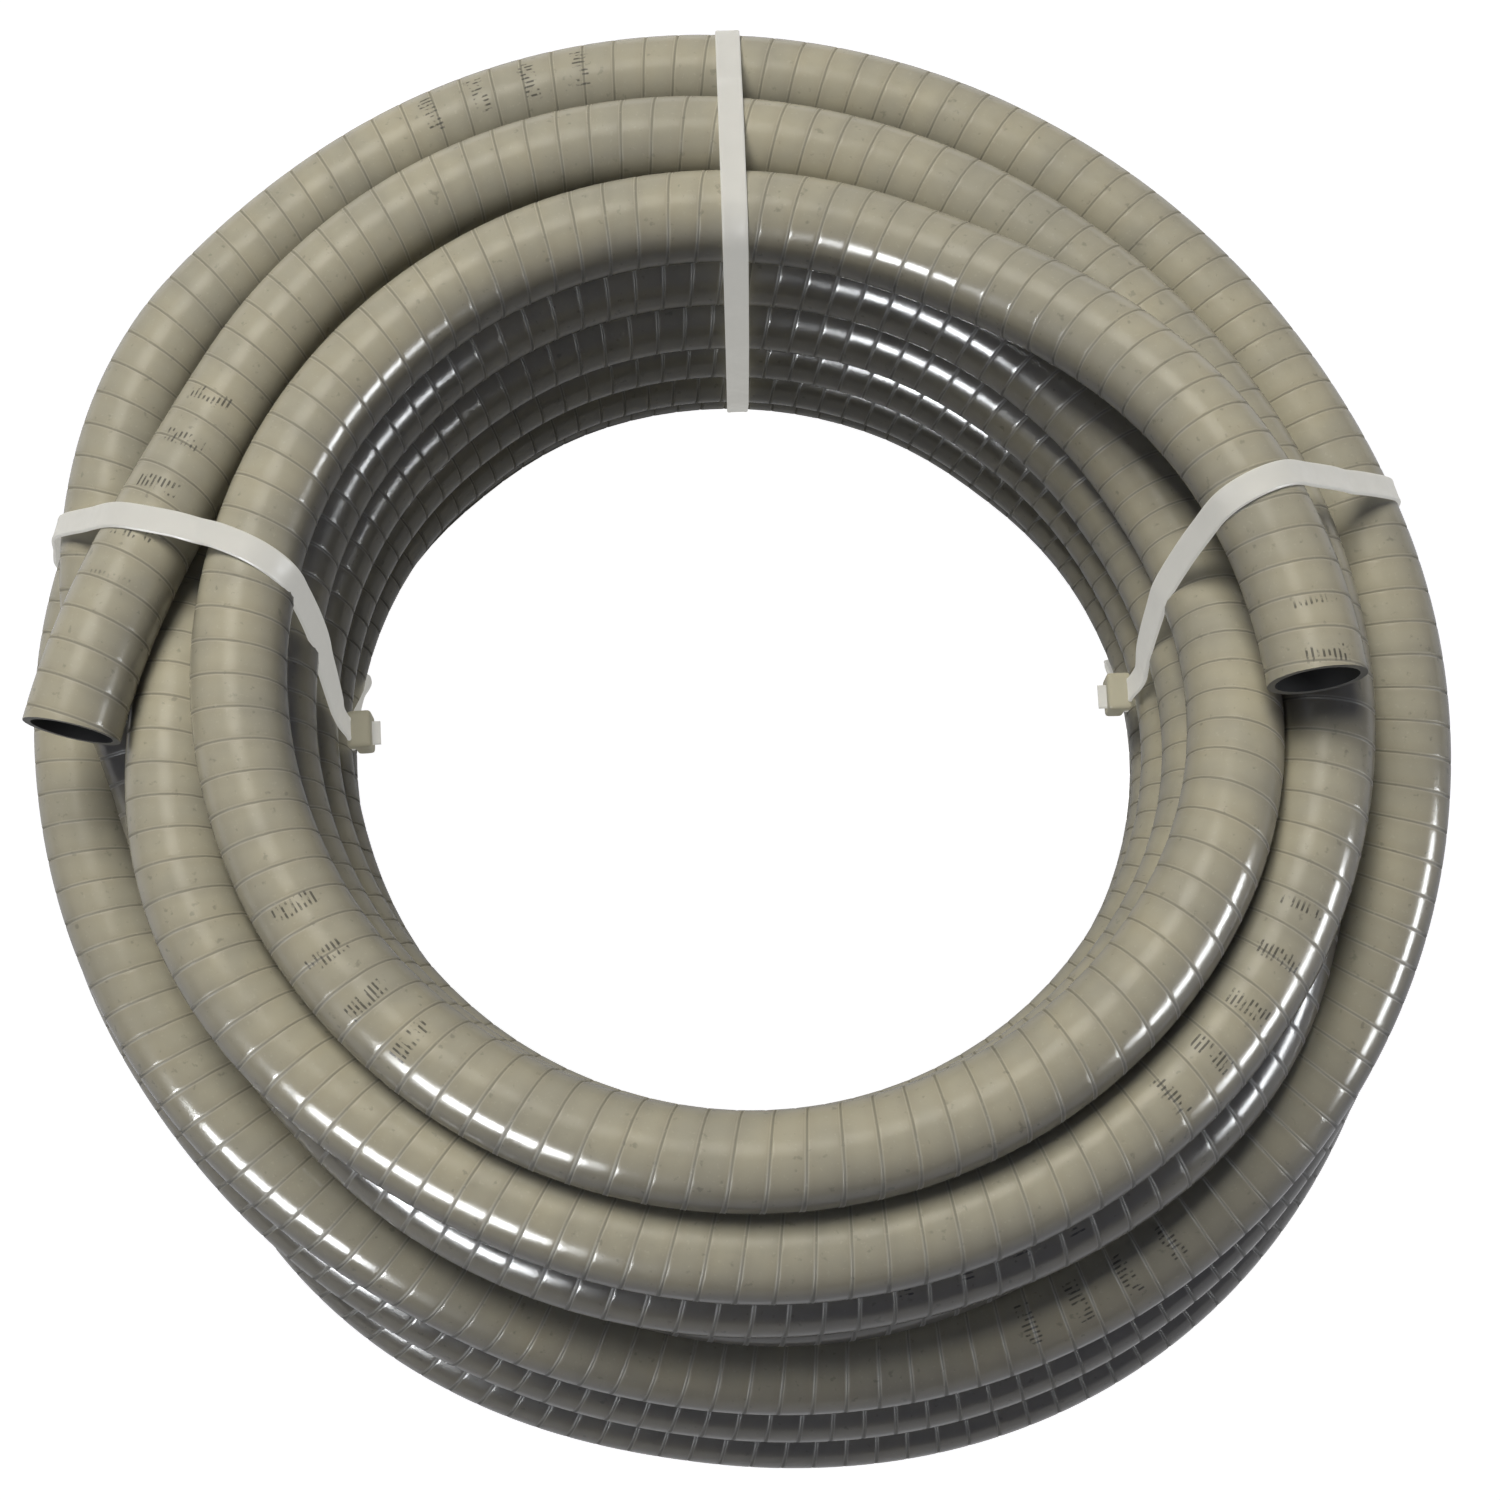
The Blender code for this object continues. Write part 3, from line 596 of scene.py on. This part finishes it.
# the colour of the dark grime specks, and of the painted shade in each groove
PVC_GRIME_AND_GROOVE_SHADE = (0.120, 0.115, 0.090, 1.0)
SPIRAL_SHOWS = 0.12      # how strongly each of these colours the wall
GRIME_SHOWS = 0.40
GROOVE_SHADE_SHOWS = 0.60
SPECK_SHOWS = 0.25
INK_SHOWS = 0.75
PVC_ROUGH = (0.17, 0.25)         # roughness of the wall, least and most
EDGE_ROUGH = 0.40        # added beside a groove


def bore_shade_finish():
    """The bore's near black, matt finish: painted shade for the dark inside of the tube, with the
    corrugation of the spiral felt through it.
    """
    n = Nodes("hose_bore_painted_shade")
    place = n.add("ShaderNodeTexCoord").outputs["Object"]
    cloud = n.noise(place, 120.0, 3.0)
    n.put(n.mix(cloud, BORE_PAINTED_SHADE_DEEP, BORE_PAINTED_SHADE_PALE), n.shader.inputs["Base Color"])
    n.put(n.bump(n.noise(place, 900.0), 0.00005, 0.4), n.shader.inputs["Normal"])
    n.shader.inputs["Roughness"].default_value = 0.75
    n.shader.inputs["Specular IOR Level"].default_value = 0.15
    return n.material


# painted shade: the bore's near black stands for the shade inside the tube
BORE_PAINTED_SHADE_DEEP = (0.020, 0.019, 0.016, 1.0)
BORE_PAINTED_SHADE_PALE = (0.050, 0.048, 0.040, 1.0)


def nylon_finish(name, glow, low, high):
    """Natural nylon: milky, with a fine moulded grain; the glow is painted light, standing for light passing
    through it and keeping it bright in shade.
    """
    n = Nodes(name)
    place = n.add("ShaderNodeTexCoord").outputs["Object"]
    cloud = n.noise(place, 90.0, 3.0)
    n.put(n.mix(cloud, low, high), n.shader.inputs["Base Color"])
    n.put(n.ramp(n.noise(place, 300.0), 0.3, 0.7, 0.36, 0.48), n.shader.inputs["Roughness"])
    n.put(n.bump(n.noise(place, 1800.0), 0.00003, 0.3), n.shader.inputs["Normal"])
    n.shader.inputs["Emission Color"].default_value = high
    n.shader.inputs["Emission Strength"].default_value = glow
    n.shader.inputs["Subsurface Weight"].default_value = 0.25
    n.shader.inputs["Subsurface Radius"].default_value = (0.004, 0.0035, 0.003)
    n.shader.inputs["Subsurface Scale"].default_value = 1.0
    n.shader.inputs["IOR"].default_value = PLASTIC_IOR
    return n.material


# painted light: the straps glow so that they look lit also where they face away from the lamps
NYLON_PAINTED_GLOW = 1.45        # for the thin straps
NYLON_SHADE = (0.20, 0.198, 0.184, 1.0)
NYLON_LIGHT = (0.25, 0.247, 0.23, 1.0)
# the heads and pawls: a darker, warmer copy of the strap nylon, painted shade for the darkness seen through
# them, with a weaker painted glow
HEAD_PAINTED_GLOW = 0.55        # for the heads and pawls
HEAD_SHADED_DEEP = (0.20, 0.19, 0.14, 1.0)
HEAD_SHADED_PALE = (0.26, 0.245, 0.185, 1.0)
PLASTIC_IOR = 1.53       # PVC's and nylon's


# --- The cable ties -----------------------------------------------------------------------------
STRAP_LIES = 0.0002      # between the strap and the hose
STRAP_TAUT = 0.94        # how far the strap spans the valleys between turns, 1 being pulled straight
STRAP_FINE = 0.0005      # spacing of the points along the strap
STRAP_EASE = 0.0050      # length over which the strap's bends are rounded
STRAP_TURNS = 0.020      # length over which the strap's face turns
HEAD_BLEND = 0.012       # length over which the strap turns its face to lie square with its head
RAY_STEP = 2.0           # degrees between two rays from the core
RAYS = np.radians(np.arange(0.0, 360.0, RAY_STEP))
RAY_LINES = np.stack([np.cos(RAYS), np.sin(RAYS)], axis=1)
CORE_POINT = np.array(CORE) * HOSE
MOST_TURNS = len(ORDER) + 2      # more than the times that the hose passes an azimuth
WRAP_SPARE = 5.0         # degrees between the head's span and the first point of the wrap
FACES_ALONG = 0.9        # least cosine for a face of the head that looks away from the bundle
ROOT_IN = 0.0006         # how far the strap starts inside its head
LEAVES_BY = 0.0012       # how far outside the head it starts to bend
RETURNS_BY = 0.0020      # and how far outside it has come straight again
BEND_STEP = 11.25        # degrees between two points of the tail's bend
STRAP_SHARP = 30.0       # angles in degrees beyond which an edge looks sharp
HEAD_SHARP = 60.0
MM = 0.001
HEAD_FINE = 0.0003       # size of the faces on a head
HEAD_ROUNDS = 60         # how often a head's faces are eased
TOOTH = 0.0010           # pitch of the teeth on the strap's inner face
TOOTH_DEPTH = 0.0003
TOOTH_REACH = 3.0        # millimetres from the strap's middle within which it is toothed

# the strap's section, in millimetres across and through it; the outer face has a low rail on each side
OUTER_FACE = ((-3.80, 0.25), (-3.45, 0.58), (-2.90, 0.65), (-2.30, 0.54), (0.0, 0.54), (2.30, 0.54),
              (2.90, 0.65), (3.45, 0.58), (3.80, 0.25))
INNER_FACE = ((3.80, -0.30), (3.40, -0.65), (2.40, -0.65), (-2.40, -0.65), (-3.40, -0.65), (-3.80, -0.30))


def turns_at(route, azimuth):
    """Radius and height of every turn of the settled hose where it passes an azimuth in degrees."""
    from_axis = route.points - np.array(CENTRE)
    turned = np.degrees(np.unwrap(np.arctan2(from_axis[:, 1], from_axis[:, 0])))
    at = azimuth + 360.0 * np.floor((turned[0] - azimuth) / 360.0) - 360.0 * np.arange(MOST_TURNS)
    at = at[(at <= turned[0]) & (at >= turned[-1])]
    radius = np.hypot(from_axis[:, 0], from_axis[:, 1])
    return np.interp(-at, -turned, radius), np.interp(-at, -turned, from_axis[:, 2])


def bundle_reach(route, azimuth):
    """How far the turns reach from the core along each ray, within the strap's width."""
    far = np.zeros(len(RAYS))
    half = math.degrees(STRAP_WIDTH / 2.0 / CORE_POINT[0])
    for beside in (-half, 0.0, half):
        for turn in np.stack(turns_at(route, azimuth + beside), axis=1) - CORE_POINT:
            along = RAY_LINES @ turn
            inside = (HOSE / 2.0) ** 2 - (turn @ turn - along ** 2)
            leave = along + np.sqrt(np.maximum(inside, 0.0))
            far = np.where((inside > 0.0) & (leave > 0.0), np.maximum(far, leave), far)
    return far


def strap_distance(route, azimuth):
    """The strap's centre line from the core along each ray: over the turns, and across the valleys."""
    far = bundle_reach(route, azimuth)
    points = RAY_LINES * far[:, None]
    support = (points @ RAY_LINES.T).max(axis=0)
    taut = (support / np.maximum(RAY_LINES @ RAY_LINES.T, 1e-3)).min(axis=1)
    return np.maximum(far, far + STRAP_TAUT * (taut - far)) + STRAP_LIES + STRAP_THICK / 2.0


def tie_azimuth(tie, ray):
    """A tie's azimuth at a ray angle: its line turns aside on the face of the bundle with the head."""
    azimuth, turn, head_ray = TIES[tie]
    return azimuth + turn * bump(ray, head_ray, TURN_SPAN)


def strap_wrap(route, tie):
    """Points of the strap's centre line round the bundle, from the head's root to its far side."""
    head_ray = TIES[tie][2]
    starts = head_ray - HEAD_SPAN - WRAP_SPARE
    ends = head_ray + HEAD_SPAN + WRAP_SPARE - 360.0
    line = []
    for ray in np.arange(starts, ends, -RAY_STEP):
        azimuth = tie_azimuth(tie, ray)
        far = strap_distance(route, azimuth)
        distance = np.interp(ray % 360.0, np.append(np.degrees(RAYS), 360.0), np.append(far, far[0]))
        radius = CORE_POINT[0] + distance * math.cos(math.radians(ray))
        height = CORE_POINT[1] + distance * math.sin(math.radians(ray))
        a = math.radians(azimuth)
        height = max(height, GAP + STRAP_THICK / 2.0)
        line.append(np.array(CENTRE) + (radius * math.cos(a), radius * math.sin(a), height))
    return line


def head_frame(tie):
    """The head's own axes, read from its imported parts: X along the strap, Y across, Z away from it."""
    head = frame["nodes"][f"tie_{tie}_head"].data
    pawl = np.array([v.co for v in frame["nodes"][f"tie_{tie}_pawl"].data.vertices])
    joint = next(j for j in frame["joints"] if j["name"] == f"{tie}_pawl_flex")
    y = -Vector(joint["axis"]).normalized()
    hinge = Vector(joint["pos_m"])
    lean = (Vector(pawl.mean(axis=0)) - hinge).normalized()
    z = Vector()
    for face in head.polygons:
        if face.normal.dot(lean) > FACES_ALONG:
            z += face.normal * face.area
    z = (z - y * z.dot(y)).normalized()
    x = y.cross(z)
    slot_wall = SLOT_AT - STRAP_THICK / 2.0 - PAWL_ROOM
    origin = hinge - x * (slot_wall + GAP + PAWL_THICK / 2.0) - z * (STRAP_THICK / 2.0 + PAWL_ROOT)
    placed = Matrix((x, y, z)).transposed().to_4x4()
    placed.translation = origin
    return placed


def evenly(line, spacing):
    """A line's points at an even spacing."""
    line = np.array(line)
    along = np.concatenate([[0.0], np.cumsum(np.linalg.norm(np.diff(line, axis=0), axis=1))])
    at = np.linspace(0.0, along[-1], max(2, int(along[-1] / spacing)))
    return np.stack([np.interp(at, along, line[:, k]) for k in range(3)], axis=1)


def eased_line(line, spacing, length):
    """The line with its bends rounded over a length, and its ends kept."""
    line = evenly(line, spacing)
    half = int(length / spacing)
    kernel = np.hanning(2 * half + 3)[1:-1]
    kernel /= kernel.sum()
    before = 2 * line[0] - line[half + 1:0:-1]
    after = 2 * line[-1] - line[-2:-half - 3:-1]
    wide = np.concatenate([before, line, after])
    return np.stack([np.convolve(wide[:, k], kernel, mode="valid") for k in range(3)], axis=1)


def turned_evenly(line, out):
    """The ways a strap's outer side faces: square to its line, and turning slowly along it."""
    ahead = np.gradient(line, axis=0)
    ahead /= np.linalg.norm(ahead, axis=1)[:, None]
    out = out - ahead * (out * ahead).sum(axis=1)[:, None]
    out /= np.linalg.norm(out, axis=1)[:, None]
    half = int(STRAP_TURNS / STRAP_FINE)
    kernel = np.hanning(2 * half + 3)[1:-1]
    kernel /= kernel.sum()
    wide = np.concatenate([np.repeat(out[:1], half, axis=0), out, np.repeat(out[-1:], half, axis=0)])
    return np.stack([np.convolve(wide[:, k], kernel, mode="valid") for k in range(3)], axis=1)


def make_strap(route, tie, finish):
    """The strap from its root in the head, round the bundle, under the head and up through its slot."""
    placed = head_frame(tie)
    root = placed @ Vector((-HEAD_LENGTH / 2.0 + ROOT_IN, 0.0, 0.0))
    leaves = placed @ Vector((-HEAD_LENGTH / 2.0 - LEAVES_BY, 0.0, 0.0))
    returns = placed @ Vector((HEAD_LENGTH / 2.0 + RETURNS_BY, 0.0, 0.0))
    bend = placed @ Vector((SLOT_AT + BEND_RADIUS, 0.0, 0.0))
    wrap = eased_line([leaves, *strap_wrap(route, tie), returns], STRAP_FINE, STRAP_EASE)
    line = np.concatenate([[root], wrap, evenly([returns, bend], STRAP_FINE)[1:]])
    core = np.array(CENTRE)
    around = (line - core) * (1.0, 1.0, 0.0)
    around /= np.linalg.norm(around, axis=1)[:, None]
    out = line - core - around * CORE_POINT[0] - (0.0, 0.0, CORE_POINT[1])
    out = turned_evenly(line, out / np.linalg.norm(out, axis=1)[:, None])
    from_head = np.minimum(np.arange(len(line)), np.arange(len(line))[::-1]) * STRAP_FINE
    square = np.clip(1.0 - from_head / HEAD_BLEND, 0.0, 1.0)[:, None]
    out = out * (1.0 - square) + np.array(placed.col[2].to_3d()) * square
    tail, tail_out = tail_line(placed)
    line = np.concatenate([line[:-1], tail])
    out = np.concatenate([out[:-1], tail_out])
    mesh = strap_mesh(line, out)
    return finished(f"strap_{tie}", mesh, finish, "bundle", STRAP_SHARP, f"tie_{tie}_strap")


def strap_mesh(line, out):
    """The toothed section swept along the strap's line, its outer face turned the way of out."""
    ahead = np.gradient(line, axis=0)
    ahead /= np.linalg.norm(ahead, axis=1)[:, None]
    across = np.cross(out, ahead)
    across /= np.linalg.norm(across, axis=1)[:, None]
    out = np.cross(ahead, across)
    along = np.concatenate([[0.0], np.cumsum(np.linalg.norm(np.diff(line, axis=0), axis=1))])
    mesh = bmesh.new()
    rings = []
    for point, side, up, length in zip(line, across, out, along):
        notch = TOOTH_DEPTH * 1000.0 * ((length / TOOTH) % 1.0)
        ring = list(OUTER_FACE)
        for u, v in INNER_FACE:
            ring.append((u, v + notch if abs(u) < TOOTH_REACH else v))
        rings.append([mesh.verts.new(point + side * u * MM + up * v * MM) for u, v in ring])
    for low, high in zip(rings, rings[1:]):
        for i in range(len(low)):
            j = (i + 1) % len(low)
            mesh.faces.new((low[i], low[j], high[j], high[i]))
    mesh.faces.new(rings[0])
    mesh.faces.new(rings[-1])
    return mesh


def tail_line(placed):
    """The tail's bend into the slot and its cut end, as points and the ways its outer side faces."""
    points, out = [], []
    x, z = placed.col[0].to_3d(), placed.col[2].to_3d()
    for a in np.radians(np.arange(0.0, 90.0 + BEND_STEP / 2.0, BEND_STEP)):
        place = (SLOT_AT + BEND_RADIUS * (1.0 - math.sin(a)), 0.0, BEND_RADIUS * (1.0 - math.cos(a)))
        points.append(placed @ Vector(place))
        out.append(z * math.cos(a) + x * math.sin(a))
    for height in np.arange(BEND_RADIUS + STRAP_FINE, HEAD_HEIGHT + TAIL_STANDS, STRAP_FINE):
        points.append(placed @ Vector((SLOT_AT, 0.0, height)))
        out.append(x)
    return np.array(points), np.array(out)


def make_head(tie, finish):
    """The head with its moulded edges rounded: the CAD solid, evenly meshed and eased."""
    block = bpy.data.objects.new("head_block", frame["nodes"][f"tie_{tie}_head"].data.copy())
    bpy.context.scene.collection.objects.link(block)
    even = block.modifiers.new("even", "REMESH")
    even.mode = "VOXEL"
    even.voxel_size = HEAD_FINE
    ease = block.modifiers.new("ease", "SMOOTH")
    ease.factor = 0.5
    ease.iterations = HEAD_ROUNDS
    seen = block.evaluated_get(bpy.context.evaluated_depsgraph_get())
    mesh = bmesh.new()
    mesh.from_mesh(seen.to_mesh())
    seen.to_mesh_clear()
    bpy.data.objects.remove(block)
    return finished(f"head_{tie}", mesh, finish, "bundle", HEAD_SHARP, f"tie_{tie}_head")


def finished(name, mesh, finish, body, sharp, *nodes):
    """A mesh made into a piece that rides on a body and stands for CAD nodes."""
    bmesh.ops.recalc_face_normals(mesh, faces=mesh.faces)
    data = bpy.data.meshes.new(name)
    mesh.to_mesh(data)
    mesh.free()
    data.materials.append(finish)
    data.shade_smooth()
    data.set_sharp_from_angle(angle=math.radians(sharp))
    piece = bpy.data.objects.new(name, data)
    bpy.context.scene.collection.objects.link(piece)
    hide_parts(*nodes)
    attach(piece, body)
    return piece


# --- Camera, light and floor --------------------------------------------------------------------
LENS = 45.6              # millimetres, on a sensor SENSOR wide
SENSOR = 36.0
CAMERA_AT = Vector((0.0, -5.907, 24.70))         # from the coil's axis, in hose diameters
CAMERA_TILT = 14.0       # degrees from straight down
AIM_HEIGHT = 0.08        # what the lights point at, above the floor
WARM = (1.0, 0.962, 0.875)
COOL = (0.93, 0.96, 1.0)
STAGE_DROP = 0.0008      # how far the sheets lie under the coil
STAGE_REACH = 6.0
BACKDROP = (5.9, 5.95)   # radii of its lower and upper edge
BACKDROP_RISE = 9.0
SHEET_WHITE = 0.99       # glow of the floor and the backdrop
MIRRORED = (0.52, 0.200)         # glow of the floor as the gloss mirrors it, and its inner radius
HOLE_MIRRORED = (0.27, 0.135)    # the same inside the coil's hole, and its outer radius
SHEET_STEP = 10.0        # degrees between two points of a sheet's edge
WALL_FROM, WALL_TO = 0.10, 0.45  # the height of a direction, as its sine, where the walls lie


def make_camera():
    data = bpy.data.cameras.new("camera")
    data.lens = LENS
    data.sensor_width = SENSOR
    camera = bpy.data.objects.new("camera", data)
    camera.location = CENTRE + CAMERA_AT * HOSE
    camera.rotation_euler = (math.radians(CAMERA_TILT), 0.0, 0.0)
    bpy.context.scene.collection.objects.link(camera)
    bpy.context.scene.camera = camera


def softbox(name, azimuth, elevation, distance, size, power, colour):
    """A rectangular area light that faces the coil from a compass direction and a height angle."""
    data = bpy.data.lights.new(name, "AREA")
    data.shape = "RECTANGLE"
    data.size, data.size_y = size
    data.energy = power
    data.color = colour
    light = bpy.data.objects.new(name, data)
    a, e = math.radians(azimuth), math.radians(elevation)
    aim = CENTRE + Vector((0.0, 0.0, AIM_HEIGHT))
    way = Vector((math.cos(a) * math.cos(e), math.sin(a) * math.cos(e), math.sin(e)))
    light.location = aim + way * distance
    light.rotation_euler = way.to_track_quat("Z", "Y").to_euler()
    bpy.context.scene.collection.objects.link(light)
    return light


def make_world():
    """A dim studio: even, cool grey walls, a ceiling much like them, and near black under the floor."""
    world = bpy.data.worlds.new("surround")
    bpy.context.scene.world = world
    world.use_nodes = True
    tree = world.node_tree
    way = tree.nodes.new("ShaderNodeTexCoord")
    split = tree.nodes.new("ShaderNodeSeparateXYZ")
    bands = tree.nodes.new("ShaderNodeValToRGB")
    tree.links.new(way.outputs["Generated"], split.inputs[0])
    tree.links.new(split.outputs[2], bands.inputs[0])
    tree.links.new(bands.outputs[0], tree.nodes["Background"].inputs["Color"])
    stops = bands.color_ramp.elements
    stops[0].position, stops[0].color = 0.0, UNDER
    stops[1].position, stops[1].color = 1.0, ZENITH
    stops.new(WALL_FROM).color = WALLS
    stops.new(WALL_TO).color = WALLS
    tree.nodes["Background"].inputs["Strength"].default_value = 1.0


UNDER = (0.02, 0.02, 0.02, 1.0)
WALLS = (0.112, 0.116, 0.165, 1.0)
ZENITH = (0.11, 0.11, 0.12, 1.0)


def sheet(name, glow, rings, rise=0.0):
    """A stage sheet that glows white and lights nothing matt; rings are the radii of its edges, and the
    last one is raised by rise."""
    mesh = bmesh.new()
    heights = [0.0] * (len(rings) - 1) + [rise]
    loops = [[mesh.verts.new(CENTRE + Vector((r * math.cos(a), r * math.sin(a), z - STAGE_DROP)))
              for a in np.radians(np.arange(0.0, 360.0, SHEET_STEP))] for r, z in zip(rings, heights)]
    for low, high in zip(loops, loops[1:]):
        for i in range(len(low)):
            j = (i + 1) % len(low)
            mesh.faces.new((low[i], high[i], high[j], low[j]))
    if len(loops) == 1:
        mesh.faces.new(loops[0])
    data = bpy.data.meshes.new(name)
    mesh.to_mesh(data)
    mesh.free()
    piece = bpy.data.objects.new(name, data)
    bpy.context.scene.collection.objects.link(piece)
    n = Nodes(name)
    n.shader.inputs["Base Color"].default_value = (0.55, 0.55, 0.55, 1.0)
    n.shader.inputs["Roughness"].default_value = 0.9
    n.shader.inputs["Emission Color"].default_value = (1.0, 1.0, 1.0, 1.0)
    n.shader.inputs["Emission Strength"].default_value = glow
    data.materials.append(n.material)
    piece.visible_diffuse = False
    return piece


def make_floor():
    """A floor and a backdrop that only the camera sees, as plain white, and two dimmer sheets in the
    floor's place that only the hose's gloss mirrors. They glow, but they don't light the coil."""
    sheet("floor", SHEET_WHITE, (STAGE_REACH,)).visible_glossy = False
    wall = sheet("backdrop", SHEET_WHITE, BACKDROP, BACKDROP_RISE)
    wall.visible_glossy = False
    wall.visible_shadow = False
    sheet("floor_mirrored", MIRRORED[0], (MIRRORED[1], STAGE_REACH)).visible_camera = False
    sheet("hole_mirrored", HOLE_MIRRORED[0], (HOLE_MIRRORED[1],)).visible_camera = False


def make_studio():
    """One light from above that shades the matt colours, and two at the sides that show in the gloss."""
    overhead = softbox("overhead", azimuth=122.0, elevation=64.0, distance=1.8, size=(0.8, 0.8),
                       power=38.5, colour=WARM)
    overhead.visible_glossy = False
    near_left = softbox("near_left", azimuth=233.0, elevation=28.0, distance=1.2, size=(0.46, 0.26),
                        power=19.0, colour=COOL)
    near_left.visible_diffuse = False
    right = softbox("right", azimuth=338.0, elevation=15.0, distance=1.2, size=(0.60, 0.20),
                    power=11.0, colour=COOL)
    right.visible_diffuse = False
    make_world()
    make_floor()
    bpy.context.scene.view_settings.view_transform = "Standard"


# --- The scene ----------------------------------------------------------------------------------
make_camera()
PVC = pvc_finish()
NYLON = nylon_finish("tie_nylon", NYLON_PAINTED_GLOW, NYLON_SHADE, NYLON_LIGHT)
# the heads and pawls take the shaded copy of the nylon: painted shade and a weaker painted glow
NYLON_HEAD_SHADED = nylon_finish("tie_nylon_head_shaded", HEAD_PAINTED_GLOW, HEAD_SHADED_DEEP, HEAD_SHADED_PALE)

route = Line(settled_route())
hose = make_hose(route, PVC, bore_shade_finish())
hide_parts("hose_coil", "hose_end_left", "hose_end_right")
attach(hose, "bundle")

make_studio()

for tie in TIES:
    make_strap(route, tie, NYLON)
    make_head(tie, NYLON_HEAD_SHADED)
    pawl = frame["nodes"][f"tie_{tie}_pawl"]
    pawl.data.materials.clear()
    pawl.data.materials.append(NYLON_HEAD_SHADED)
